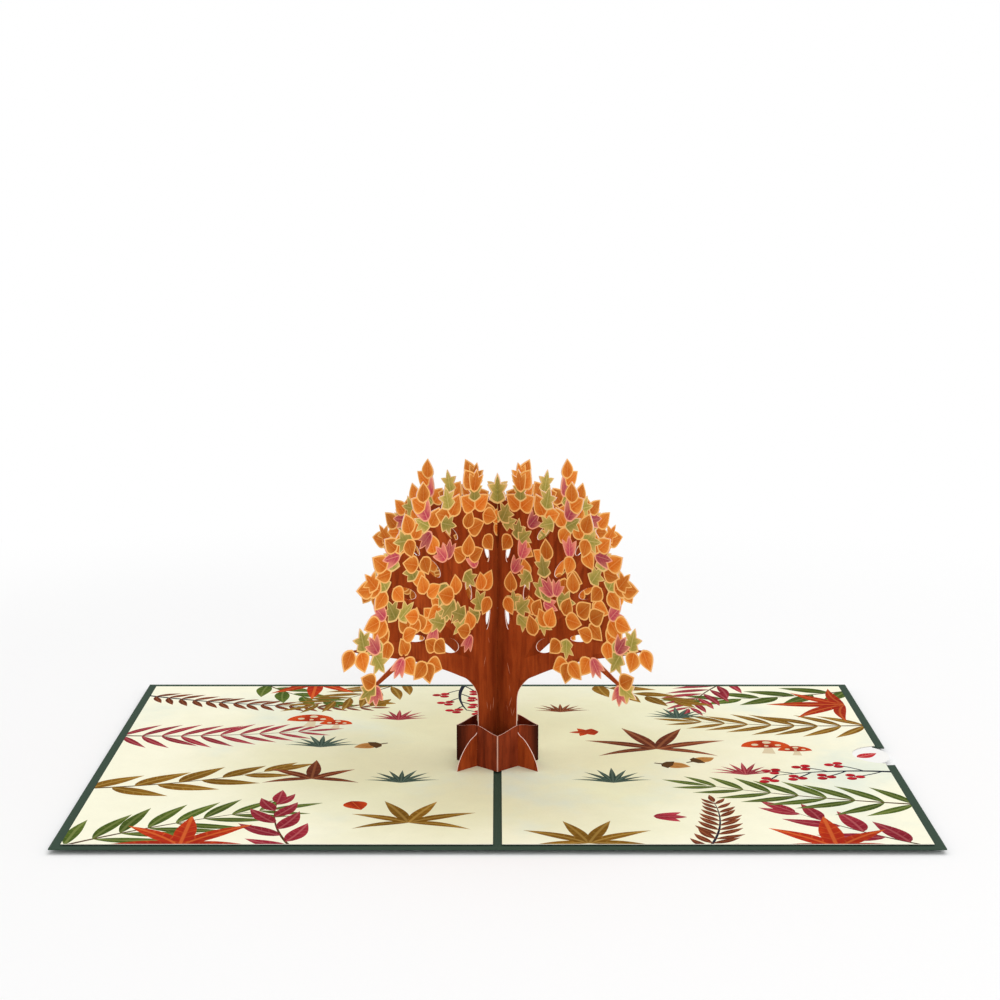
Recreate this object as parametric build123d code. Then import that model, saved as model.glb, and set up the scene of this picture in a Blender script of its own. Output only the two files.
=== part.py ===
"""Pop-up greeting card, lying open, with a two-slice paper tree standing on its fold.

Millimetres. The card lies on z = 0 with its fold along Y at x = 0. The tree stands on the fold:
two paper slices cross at right angles, each at 45 degrees to the fold, inside a square root collar.
"""
from build123d import *
from math import atan2, cos, degrees, hypot, pi, radians, sin, sqrt
import os

# Card
panel_width = 127.0        # one half of the open card, fold to edge
card_depth = 178.0         # along the fold
cover_t = 0.40             # folded cover stock
border = 3.1               # cover left bare beside the liners
front_border = 2.4         # cover left bare in front of the liners
back_border = 4.6          # cover left bare behind the liners
fold_gap = 2.6             # cover left bare between the two liners
score_width = 0.8          # crease pressed along the fold
score_depth = 0.12
liner_t = 0.16             # printed liner

# Note card in its pocket under the right liner
note_t = 0.22
note_inner_gap = 12.5      # from the collar's feet to the note's inner edge
note_side_gap = 12.5       # from the tape to the note's two ends
note_edge_back = 1.0       # the note's long edge lies this far inside the liner's edge
pocket_play = 0.07         # above and below the thickest sheet in the gap under the liners
notch_half = 9.5           # thumb notch in the cover and the right liner
notch_depth = 12.0
tab_half = 8.6             # pull tab that shows in the notch
tab_short = 0.3            # the tab stops this far short of the cover's edge
tape_width = 5.0           # double-sided tape that holds the liners
tape_inset = 1.0

# Tree paper and the slots in it
paper_t = 0.28
slot_play = 0.06           # each side of a sheet in its slot
lap_play = 0.10            # left between the ends of two slots that meet
tree_forward = 5.7         # the tree stands this far in front of the card's middle

# Root collar, a square of folded paper with its corners on the fold and on the panels
collar_half = 9.2          # from the tree's axis to the middle of each side
collar_corner_h = 11.6
collar_middle_h = 13.3
collar_lap_h = 5.5         # where the collar's slots and the slices' slots meet
foot_length = 4.6          # glued feet under the liners
foot_width = 4.0
foot_corner_gap = 1.6      # from a collar corner to the nearest foot

# Slice outline: trunk, low branch and crown, from the axis outwards
root_reach = 18.1
root_h = 10.7
root_flatness = 1.35       # 1 is a quarter ellipse, more is a straighter edge
trunk_half = 8.7
trunk_h = 24.0             # the trunk is straight up to here
lap_h = 50.0               # where the slots of the two slices meet
branch_reach = 62.5
branch_tip_h = 47.0
dip_back = 10.03           # from the low branch's tip back to the dip in its top edge
branch_root_h = 31.0       # underside of the low branch beside the trunk
branch_root_out = 17.0
crown_reach = 49.5
crown_foot_rise = 9.0      # the crown is widest this far above the low branch's tip
crown_h = 85.2
crown_squareness = 0.80    # 1 is an ellipse, less is a fuller shoulder
twig_length = 12.0         # twig hanging from the low branch
twig_half = 1.3
twig_droop = 28.0          # degrees below level

# Leaves
oval_length = 7.2
oval_width = 5.9
maple_length = 8.0
three_length = 7.2
tufts = 9                  # leaf tufts on each side of the crown
tuft_first = -14.0         # degrees from the crown's widest place to the lowest tuft
tuft_turn = 12.0           # degrees from one tuft to the next
tuft_spread = 52.0         # degrees between the leaves of a tuft
tuft_step_out = 2.2        # the middle leaf of a tuft stands out by this much
# Tufts with two leaves more, and how far out those two are rooted
crest_out = {2: (3.4, 2.2), 6: (4.4, 6.4), 8: (4.6, 3.4)}
leaf_root = 1.8            # leaves are rooted this far inside the outline
top_leaf = 1.25            # size of the leaf that stands on the axis

# Shares along the low branch, then degrees, then the kind of leaf
branch_leaves = [
    (0.30, -152, "oval"), (0.30, -98, "oval"), (0.31, -42, "oval"),
    (0.50, -118, "oval"), (0.52, -58, "three"),
    (0.78, -122, "maple"), (0.90, -104, "oval"), (0.97, -62, "oval"),
    (0.86, 76, "maple"), (0.74, 58, "three"),
]
# Degrees from the twig's own line, then the kind of leaf
twig_leaves = [(-62, "three"), (2, "maple"), (58, "oval")]
# Windows: shares of the crown's reach and height, half length, half width, tilt in degrees
windows = [
    (0.089, 0.565, 4.4, 0.9, 97), (0.101, 0.810, 3.6, 1.1, 80), (0.434, 0.488, 4.6, 2.3, 22),
    (0.263, 0.685, 3.9, 1.2, 74), (0.566, 0.786, 4.2, 1.7, 46), (0.717, 0.542, 3.8, 1.1, 10),
    (0.788, 0.714, 4.2, 1.6, 24), (0.414, 0.905, 3.8, 1.4, 40), (0.717, 0.869, 2.8, 1.1, 50),
]
curve_steps = 4            # straight pieces between two points of a smooth line

# Sizes that follow from those above
pocket_gap = max(note_t, paper_t) + 2 * pocket_play
liner_z = cover_t + pocket_gap
floor_z = liner_z + liner_t
liner_width = panel_width - border - fold_gap / 2
liner_depth = card_depth - front_border - back_border
liner_y = (front_border - back_border) / 2
slot_width = paper_t + 2 * slot_play
crown_foot_h = branch_tip_h + crown_foot_rise
tree_place = Pos(0, -tree_forward, 0)
along_a = Vector(1, 1, 0).normalized()     # front left to back right
along_b = Vector(-1, 1, 0).normalized()    # front right to back left


def smooth(points, steps):
    """A line through the points, rounded as a Catmull-Rom curve."""
    ends = [points[0]] + list(points) + [points[-1]]
    line = []
    for p, q, r, s in zip(ends, ends[1:], ends[2:], ends[3:]):
        for i in range(steps):
            t = i / steps
            line.append(tuple(
                0.5 * (2 * b + (c - a) * t + (2 * a - 5 * b + 4 * c - d) * t * t
                       + (3 * b - a - 3 * c + d) * t ** 3)
                for a, b, c, d in zip(p, q, r, s)))
    return line + [tuple(points[-1])]


def outline(points):
    """The flat face inside a closed line of points."""
    return make_face(Polyline(*points, close=True))


def bounded(*lines):
    """The flat face inside lines that meet end to end."""
    return make_face([edge for line in lines for edge in line.edges()])


def turned(points, place, angle):
    """Points of a leaf or window, turned by an angle in degrees and moved to their place."""
    c, s = cos(radians(angle)), sin(radians(angle))
    return [(place[0] + c * u - s * v, place[1] + s * u + c * v) for u, v in points]


def both_sides(upper):
    """A closed line from the upper edge of a leaf, given from its root to its tip."""
    return upper + [(u, -v) for u, v in upper[-2:0:-1]]


def oval_leaf(size):
    shares = (0, 0.06, 0.2, 0.4, 0.6, 0.8, 1)
    upper = [(oval_length * u, oval_width / 2 * sin(pi * u ** 0.72)) for u in shares]
    return [(size * u, size * v) for u, v in both_sides(upper)]


def maple_leaf(size):
    middle = 0.42
    rays = [(120, 0.44), (92, 0.25), (60, 0.52), (30, 0.29), (0, 0.58)]
    upper = [(0, 0)] + [(middle + r * cos(radians(a)), r * sin(radians(a))) for a, r in rays]
    return [(size * maple_length * u, size * maple_length * v) for u, v in both_sides(upper)]


def three_leaf(size):
    upper = [(0, 0), (0.10, 0.20), (0.36, 0.33), (0.80, 0.42), (0.66, 0.17), (1, 0)]
    return [(size * three_length * u, size * three_length * v) for u, v in both_sides(upper)]


leaf_shapes = {"oval": oval_leaf, "maple": maple_leaf, "three": three_leaf}


def branch_underside():
    """The underside of the low branch, from beside the trunk to the tip."""
    run = branch_reach - branch_root_out
    rise = branch_tip_h - branch_root_h
    shares = ((0, 0), (0.14, 0.19), (0.30, 0.38), (0.46, 0.54), (0.66, 0.70), (0.84, 0.84), (1, 1))
    return [(branch_root_out + run * a, branch_root_h + rise * b) for a, b in shares]


def branch_point(share):
    """The place on the underside of the low branch at this share of its run."""
    line = smooth(branch_underside(), curve_steps)
    x = branch_root_out + share * (branch_reach - branch_root_out)
    for (x0, z0), (x1, z1) in zip(line, line[1:]):
        if x <= x1:
            return x, z0 + (z1 - z0) * (x - x0) / (x1 - x0)
    return line[-1]


def crown_point(turn):
    """The crown's edge at a turn in degrees from its widest place, and the way out from it."""
    c, s = cos(radians(turn)), sin(radians(turn))
    rise = crown_h - crown_foot_h
    x = crown_reach * abs(c) ** crown_squareness
    z = crown_foot_h + rise * abs(s) ** crown_squareness * (1 if s >= 0 else -1)
    return x, z, degrees(atan2(s * crown_reach, c * rise))


def half_outline():
    """The slice's edge from its root up the outside to the top of the crown."""
    root_out = root_reach - trunk_half
    turns = [radians(turn) for turn in (0, 20, 40, 60, 80)]
    root = [(trunk_half + root_out * cos(turn) ** root_flatness, root_h * sin(turn) ** root_flatness)
            for turn in turns]
    trunk = root + [
        (trunk_half, root_h * 1.15),
        (trunk_half, (root_h + trunk_h) / 2),
        (trunk_half * 1.06, trunk_h),
        ((trunk_half + branch_root_out) / 2, (trunk_h + 2 * branch_root_h) / 3),
    ]
    under = branch_underside()
    top = [(branch_reach - dip_back, branch_tip_h - 0.4), (crown_reach * 0.95, branch_tip_h + 1.2)]
    crown = [crown_point(turn)[:2] for turn in (0, 15, 30, 45, 60, 75)] + [(0, crown_h)]
    return smooth(trunk + under, curve_steps) + smooth([under[-1]] + top + crown, curve_steps)[1:]


def window_places():
    """The windows in one half of the slice: out, height, half length, half width and tilt."""
    return [(out * crown_reach, up * crown_h, *rest) for out, up, *rest in windows]


def slice_leaves():
    """The leaves that shape the slice's edge and its windows: place, turn, kind and size."""
    leaves = []
    kinds = ("oval", "oval", "maple", "oval", "three", "oval", "oval", "maple")
    for k in range(tufts):
        x, z, out = crown_point(tuft_first + tuft_turn * k)
        fan = [(-1, -leaf_root), (1, -leaf_root), (0, tuft_step_out - leaf_root)]
        if k in crest_out:
            fan += zip((-0.45, 0.5), crest_out[k])
        for n, (j, step) in enumerate(fan):
            turn = out + tuft_spread * j + 11 * sin(2.4 * k + n)
            place = (x + step * cos(radians(out)), z + step * sin(radians(out)))
            leaves.append((place, turn, kinds[(3 * k + n) % len(kinds)], 1 + 0.09 * sin(1.7 * k + 2 * n)))
    for n, (x, z, half_length, half_width, tilt) in enumerate(window_places()):
        reach = half_length + leaf_root
        place = (x + reach * cos(radians(tilt)), z + reach * sin(radians(tilt)))
        leaves.append((place, tilt + 180 + 24 * (-1) ** n, kinds[(2 * n + 1) % len(kinds)], 0.9))
    for share, turn, kind in branch_leaves:
        x, z = branch_point(share)
        leaves.append(((x, z + leaf_root * 0.4), turn, kind, 1.0))
    tip = twig_line()[-1]
    for turn, kind in twig_leaves:
        leaves.append(((tip[0], tip[1]), turn - twig_droop, kind, 0.95))
    return leaves


def twig_line():
    x, z = branch_point(0.50)
    reach = twig_length + leaf_root
    z += leaf_root / 2
    return [(x, z), (x + reach * cos(radians(twig_droop)), z - reach * sin(radians(twig_droop)))]


def twig_face():
    (x0, z0), (x1, z1) = twig_line()
    length = hypot(x1 - x0, z1 - z0)
    bar = [(0, twig_half), (length, twig_half / 2), (length, -twig_half / 2), (0, -twig_half)]
    return turned(bar, (x0, z0), degrees(atan2(z1 - z0, x1 - x0)))


def window_hole(half_length, half_width):
    shares = [2 * pi * i / 12 for i in range(12)]
    return [(half_length * cos(t), half_width * sin(t)) for t in shares]


def mirrored(points):
    return [(-u, v) for u, v in reversed(points)]


def upright(out, foot, height, width):
    """A slot cutter where two sheets cross, this far out from the axis."""
    return Pos(out, foot) * Rectangle(width, height, align=(Align.CENTER, Align.MIN))


def slice_face():
    """The flat outline of one tree slice, standing on its own y = 0."""
    right = half_outline()
    wood = Sketch() + outline(right + mirrored(right)[1:])
    leaves = [outline(turned(maple_leaf(top_leaf), (0, crown_h - leaf_root), 90))]
    for flip in (list, mirrored):
        for x, z, half_length, half_width, tilt in window_places():
            wood -= outline(flip(turned(window_hole(half_length, half_width), (x, z), tilt)))
        leaves.append(outline(flip(twig_face())))
        for place, turn, kind, size in slice_leaves():
            leaves.append(outline(flip(turned(leaf_shapes[kind](size), place, turn))))
    slot_h = 1 + collar_lap_h + lap_play / 2
    slots = [upright(side, -1, slot_h, slot_width) for side in (-collar_half, collar_half)]
    return wood + leaves - slots


def stand(face, along):
    """The slice cut from paper and stood on the liners, running along a direction."""
    plane = Plane(origin=(0, 0, floor_z), x_dir=along, z_dir=along.cross(Vector(0, 0, 1)))
    return tree_place * extrude(plane * face, amount=paper_t / 2, both=True)


def panel_frame(u, v, z):
    """A place on the collar's front right side: u along it to the right, v outwards."""
    place = along_a * u - along_b * (collar_half + v)
    return Pos(place.X, place.Y, z) * Rot(0, 0, 45)


def four_ways(shape):
    """The shape at all four sides of the tree, mirrored across the fold and across the axis."""
    pair = [shape, mirror(shape, about=Plane.YZ)]
    return pair + [mirror(s, about=Plane.XZ) for s in pair]


def foot_middle():
    return collar_half - foot_corner_gap - foot_length / 2


# Cover, with its crease and the thumb notch
notch = bounded(
    ThreePointArc((panel_width, -notch_half), (panel_width - notch_depth, 0), (panel_width, notch_half)),
    Polyline((panel_width, notch_half), (panel_width + 1, notch_half), (panel_width + 1, -notch_half),
             (panel_width, -notch_half)),
)
cover = extrude(Rectangle(2 * panel_width, card_depth) - notch, amount=cover_t)
score = outline([(-score_width / 2, cover_t), (score_width / 2, cover_t), (0, cover_t - score_depth)])
cover -= extrude(Plane.XZ * score, amount=card_depth, both=True)

# Liners, with slits for the collar's feet
foot_slit = Rectangle(foot_length + 2 * slot_play, slot_width)
slits = [tree_place * s for s in four_ways(panel_frame(foot_middle(), 0, 0) * foot_slit)]
liner_x = fold_gap / 2 + liner_width / 2
right_liner = Pos(liner_x, liner_y, liner_z) * extrude(
    Rectangle(liner_width, liner_depth) - Pos(-liner_x, -liner_y) * notch, amount=liner_t)
left_liner = Pos(-liner_x, liner_y, liner_z) * extrude(
    Rectangle(liner_width, liner_depth), amount=liner_t)
for slit in slits:
    cutter = Pos(0, 0, liner_z) * extrude(slit, amount=liner_t)
    right_liner -= cutter
    left_liner -= cutter

# Tape under the liners: all round on the left, open at the card's edge on the right
tape_side = liner_depth - 2 * tape_inset
tape_long = liner_width - 2 * tape_inset
tape_off = (tape_side - tape_width) / 2
fold_strip = (fold_gap / 2 + tape_inset + tape_width / 2, 0, tape_width, tape_side - 2 * tape_width)
edge_strip = (panel_width - border - tape_inset - tape_width / 2, 0, tape_width, tape_side - 2 * tape_width)
end_strips = [(liner_x, y, tape_long, tape_width) for y in (-tape_off, tape_off)]


def tape(strips, side):
    return Compound(children=[
        Pos(side * x, liner_y + y, cover_t) * extrude(Rectangle(w, d), amount=pocket_gap)
        for x, y, w, d in strips])


right_tape = tape([fold_strip] + end_strips, 1)
left_tape = tape([fold_strip, edge_strip] + end_strips, -1)

# Note card, with its pull tab in the thumb notch
foot_reach = (2 * collar_half - foot_corner_gap + foot_width - paper_t / 2) / sqrt(2)
note_left = foot_reach + note_inner_gap
note_right = panel_width - border - note_edge_back
note_length = note_right - note_left
note_depth = tape_side - 2 * (tape_width + note_side_gap)
tab_reach = panel_width - tab_short - note_right
note_face = Pos((note_left + note_right) / 2, 0) * Rectangle(note_length, note_depth)
note_face += bounded(
    ThreePointArc((note_right, -tab_half), (note_right + tab_reach, 0), (note_right, tab_half)),
    Line((note_right, tab_half), (note_right, -tab_half)),
)
note_card = Pos(0, 0, cover_t + pocket_play) * extrude(note_face, amount=note_t)

# Tree slices: one slotted from its top, the other from its foot
face = slice_face()
tall = crown_h + 4 * oval_length
under_slice = stand(face - upright(0, lap_h - lap_play / 2, tall, slot_width), along_a)
over_slice = stand(face - upright(0, -1, 1 + lap_h + lap_play / 2, slot_width), along_b)

# Root collar: a folded square strip with a wavy top, slots for the slices and glued feet
outer = RectangleRounded(2 * collar_half + paper_t, 2 * collar_half + paper_t, paper_t)
ring = outer - Rectangle(2 * collar_half - paper_t, 2 * collar_half - paper_t)
wave_end = collar_half + paper_t
wave = [(-wave_end, collar_corner_h), (-collar_half / 2, (collar_corner_h + collar_middle_h) / 2),
        (0, collar_middle_h), (collar_half / 2, (collar_corner_h + collar_middle_h) / 2),
        (wave_end, collar_corner_h)]
under_wave = bounded(
    Spline(*wave), Polyline(wave[-1], (wave_end, 0), (-wave_end, 0), wave[0]))
ridge = extrude(Plane.XZ * under_wave, amount=wave_end, both=True)
collar = extrude(ring, amount=collar_middle_h) & (ridge + Rot(0, 0, 90) * ridge)
slot_from_top = Pos(0, 0, collar_lap_h - lap_play / 2) * extrude(
    Rectangle(slot_width, 4 * collar_half), amount=collar_middle_h)
collar -= slot_from_top
collar -= Rot(0, 0, 90) * slot_from_top
collar = Pos(0, 0, floor_z) * Rot(0, 0, 45) * collar
shank_h = liner_t + paper_t
foot = panel_frame(foot_middle(), 0, floor_z - shank_h) * extrude(
    Rectangle(foot_length, paper_t), amount=shank_h)
foot += panel_frame(foot_middle(), (foot_width - paper_t) / 2, liner_z - paper_t) * extrude(
    Rectangle(foot_length, foot_width), amount=paper_t)
for piece in four_ways(foot):
    collar += piece
root_collar = tree_place * collar

os.makedirs("parts", exist_ok=True)
export_step(cover, "parts/cover.step")
export_step(left_liner, "parts/left_liner.step")
export_step(right_liner, "parts/right_liner.step")
export_step(left_tape, "parts/left_tape.step")
export_step(right_tape, "parts/right_tape.step")
export_step(note_card, "parts/note_card.step")
export_step(under_slice, "parts/under_slice.step")
export_step(over_slice, "parts/over_slice.step")
export_step(root_collar, "parts/root_collar.step")
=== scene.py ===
"""Looks of the pop-up card: printed paper sheets cut to the solids' outlines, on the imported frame.

Sheets are drawn flat, in millimetres, as shapes laid one over the other. The flat drawing is cut into
triangles along every line of the print, so each triangle has one ink, and is then given the paper's
thickness and its place on the card.
"""

import random
from math import atan2, cos, degrees, hypot, pi, radians, sin, sqrt

import bpy
import numpy as np
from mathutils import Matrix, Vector
from mathutils.geometry import delaunay_2d_cdt


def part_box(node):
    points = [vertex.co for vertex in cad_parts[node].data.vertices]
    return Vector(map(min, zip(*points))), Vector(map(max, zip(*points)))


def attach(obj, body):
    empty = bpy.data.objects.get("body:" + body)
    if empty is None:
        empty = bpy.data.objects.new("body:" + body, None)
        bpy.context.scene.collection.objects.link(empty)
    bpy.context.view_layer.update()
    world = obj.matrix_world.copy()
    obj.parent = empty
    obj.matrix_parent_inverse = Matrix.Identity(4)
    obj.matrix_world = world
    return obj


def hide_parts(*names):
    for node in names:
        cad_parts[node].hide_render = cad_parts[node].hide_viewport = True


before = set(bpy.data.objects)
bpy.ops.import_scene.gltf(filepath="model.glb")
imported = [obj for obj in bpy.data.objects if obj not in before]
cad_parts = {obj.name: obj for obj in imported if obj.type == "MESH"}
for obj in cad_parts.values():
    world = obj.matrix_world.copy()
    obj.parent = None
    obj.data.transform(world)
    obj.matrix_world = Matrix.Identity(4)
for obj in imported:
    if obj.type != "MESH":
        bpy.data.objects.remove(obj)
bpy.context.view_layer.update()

MM = 0.001

# Tree sizes, as in the solids
PAPER_T = 0.28
SLOT_WIDTH = 0.40
LAP_PLAY = 0.10
TREE_FORWARD = 5.7
COLLAR_HALF = 9.2
COLLAR_LAP_H = 5.5
ROOT_REACH = 18.1
ROOT_H = 10.7
ROOT_FLATNESS = 1.35
TRUNK_HALF = 8.7
TRUNK_H = 24.0
LAP_H = 50.0
BRANCH_REACH = 62.5
BRANCH_TIP_H = 47.0
DIP_BACK = 10.03
BRANCH_ROOT_H = 31.0
BRANCH_ROOT_OUT = 17.0
CROWN_REACH = 49.5
CROWN_FOOT_H = 56.0
CROWN_H = 85.2
CROWN_SQUARENESS = 0.80
TWIG_LENGTH = 12.0
TWIG_HALF = 1.3
TWIG_DROOP = 28.0
OVAL_LENGTH = 7.2
OVAL_WIDTH = 5.9
MAPLE_LENGTH = 8.0
THREE_LENGTH = 7.2
TUFTS = 9
TUFT_FIRST = -14.0
TUFT_TURN = 12.0
CREST_OUT = {2: (3.4, 2.2), 6: (4.4, 6.4), 8: (4.6, 3.4)}
TUFT_SPREAD = 52.0
TUFT_STEP_OUT = 2.2
LEAF_ROOT = 1.8
TOP_LEAF = 1.25
BRANCH_LEAVES = [
    (0.30, -152, "oval"), (0.30, -98, "oval"), (0.31, -42, "oval"),
    (0.50, -118, "oval"), (0.52, -58, "three"),
    (0.78, -122, "maple"), (0.90, -104, "oval"), (0.97, -62, "oval"),
    (0.86, 76, "maple"), (0.74, 58, "three"),
]
TWIG_LEAVES = [(-62, "three"), (2, "maple"), (58, "oval")]
WINDOWS = [
    (0.089, 0.565, 4.4, 0.9, 97), (0.101, 0.810, 3.6, 1.1, 80), (0.434, 0.488, 4.6, 2.3, 22),
    (0.263, 0.685, 3.9, 1.2, 74), (0.566, 0.786, 4.2, 1.7, 46), (0.717, 0.542, 3.8, 1.1, 10),
    (0.788, 0.714, 4.2, 1.6, 24), (0.414, 0.905, 3.8, 1.4, 40), (0.717, 0.869, 2.8, 1.1, 50),
]
LEAF_KINDS = ("oval", "oval", "maple", "oval", "three", "oval", "oval", "maple")
CURVE_STEPS = 8
RIM_SHARE = 0.84           # the painted middle of a leaf, as a share of the leaf
RIM_MIDDLE = 0.46          # the place along a leaf that its painted middle shrinks towards
WINDOW_STEPS = 24          # corners round a window

# Printed limbs: out from the axis, height, half width
LIMBS = [
    [(4.4, -1, 14.0), (4.6, 20, 5.2), (4.2, 32, 5.6), (2.6, 44, 4.0), (2.2, 60, 2.8), (3.2, 74, 2.0),
     (6.0, 84, 0.8)],
    [(5.0, 36, 3.6), (10.5, 49, 3.0), (16.5, 62, 2.3), (22.5, 73, 1.6), (27.0, 81, 0.7)],
    [(7.0, 34, 3.4), (17.0, 47, 3.0), (29.0, 55, 2.3), (38.0, 60, 1.6), (46.0, 63, 0.7)],
    [(23.0, 51.5, 1.8), (31.0, 62, 1.6), (36.5, 70, 1.1), (40.0, 75, 0.6)],
    [(9.0, 31, 3.2), (22.0, 36.5, 3.0), (34.0, 42, 2.4), (48.0, 45.5, 1.4), (58.0, 46, 0.7)],
]
SCRATCHES = 6              # scratches in the bark, on each half of a slice
CROSSING_SHADE = 6.0       # painted shade: the bark is darker this near to the line where the slices cross

# Leaf clusters printed over the crown
CLUSTER_TRIES = 2600       # places tried
CLUSTER_APART = (6.2, 4.3)  # least distance between two, at the trunk and at the crown's edge
CLUSTER_LOW = 33.0         # the lowest stand at this height
CLUSTER_AIM_H = 40.0       # they point away from the axis at this height
CLUSTER_FAN = (-62, 58, 0)  # degrees from that way to each leaf
CLUSTER_KINDS = ("oval",) * 5 + ("maple",) * 2 + ("three",)
LEAD_KINDS = ("oval",) * 2 + ("maple",) * 2 + ("three",)
FORK = (20.0, 42.0)        # none lies both inside and below this place, where the branches leave the trunk
LIMB_COVER = 0.8           # none has its middle deeper in a limb than this


def linear(red, green, blue):
    """A colour from its 0 to 255 display values, as shader sockets take it."""
    shares = [v / 255 for v in (red, green, blue)]
    return tuple(s / 12.92 if s <= 0.04045 else ((s + 0.055) / 1.055) ** 2.4 for s in shares) + (1.0,)


# Flat drawing


def smooth(points, steps):
    """A line through the points, rounded as a Catmull-Rom curve."""
    ends = [points[0]] + list(points) + [points[-1]]
    line = []
    for p, q, r, s in zip(ends, ends[1:], ends[2:], ends[3:]):
        for i in range(steps):
            t = i / steps
            line.append(tuple(
                0.5 * (2 * b + (c - a) * t + (2 * a - 5 * b + 4 * c - d) * t * t
                       + (3 * b - a - 3 * c + d) * t ** 3)
                for a, b, c, d in zip(p, q, r, s)))
    return line + [tuple(points[-1])]


def turned(points, place, angle):
    """Points turned by an angle in degrees and moved to their place."""
    c, s = cos(radians(angle)), sin(radians(angle))
    return [(place[0] + c * u - s * v, place[1] + s * u + c * v) for u, v in points]


def mirrored(points):
    return [(-u, v) for u, v in reversed(points)]


def both_sides(upper):
    """A closed line from the upper edge of a leaf, given from its root to its tip."""
    return upper + [(u, -v) for u, v in upper[-2:0:-1]]


def bowed(points, bow, steps=4):
    """A closed clockwise line whose sides are bowed outwards by a share of their length."""
    line = []
    for (x0, y0), (x1, y1) in zip(points, points[1:] + points[:1]):
        for i in range(steps):
            t = i / steps
            out = 4 * bow * t * (1 - t)
            line.append((x0 + (x1 - x0) * t - out * (y1 - y0), y0 + (y1 - y0) * t + out * (x1 - x0)))
    return line


def blade(width, fullness=0.72, steps=11):
    """A leaf of length 1, widest nearer its root the smaller its fullness."""
    upper = [(i / steps, width / 2 * sin(pi * (i / steps) ** fullness)) for i in range(steps + 1)]
    return both_sides(upper)


def maple_leaf():
    middle = 0.42
    rays = [(120, 0.44), (92, 0.25), (60, 0.52), (30, 0.29), (0, 0.58)]
    upper = [(0, 0)] + [(middle + r * cos(radians(a)), r * sin(radians(a))) for a, r in rays]
    return bowed(both_sides(upper), 0.05)


def three_leaf():
    upper = [(0, 0), (0.10, 0.20), (0.36, 0.33), (0.80, 0.42), (0.66, 0.17), (1, 0)]
    return bowed(both_sides(upper), 0.05)


LEAF_SHAPES = {
    "oval": (OVAL_LENGTH, blade(OVAL_WIDTH / OVAL_LENGTH)),
    "maple": (MAPLE_LENGTH, maple_leaf()),
    "three": (THREE_LENGTH, three_leaf()),
}


def stroke(points, steps=6):
    """The outline of a tapered brush stroke through points of (x, y, half width)."""
    line = smooth(points, steps)
    left, right = [], []
    for i, (x, y, half) in enumerate(line):
        x0, y0, _ = line[max(i - 1, 0)]
        x1, y1, _ = line[min(i + 1, len(line) - 1)]
        run = hypot(x1 - x0, y1 - y0)
        nx, ny = -(y1 - y0) / run, (x1 - x0) / run
        left.append((x + nx * half, y + ny * half))
        right.append((x - nx * half, y - ny * half))
    return left + right[::-1]


def round_spot(place, radius, steps=16):
    turns = [2 * pi * i / steps for i in range(steps)]
    return [(place[0] + radius * cos(t), place[1] + radius * sin(t)) for t in turns]


def inside(points, loop):
    """Which of the points lie inside the closed loop."""
    x, y = points[:, 0], points[:, 1]
    found = np.zeros(len(points), bool)
    for (x0, y0), (x1, y1) in zip(loop, loop[1:] + loop[:1]):
        if y0 == y1:
            continue
        across = ((y0 > y) != (y1 > y)) & (x < (x1 - x0) * (y - y0) / (y1 - y0) + x0)
        found ^= across
    return found


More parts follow.
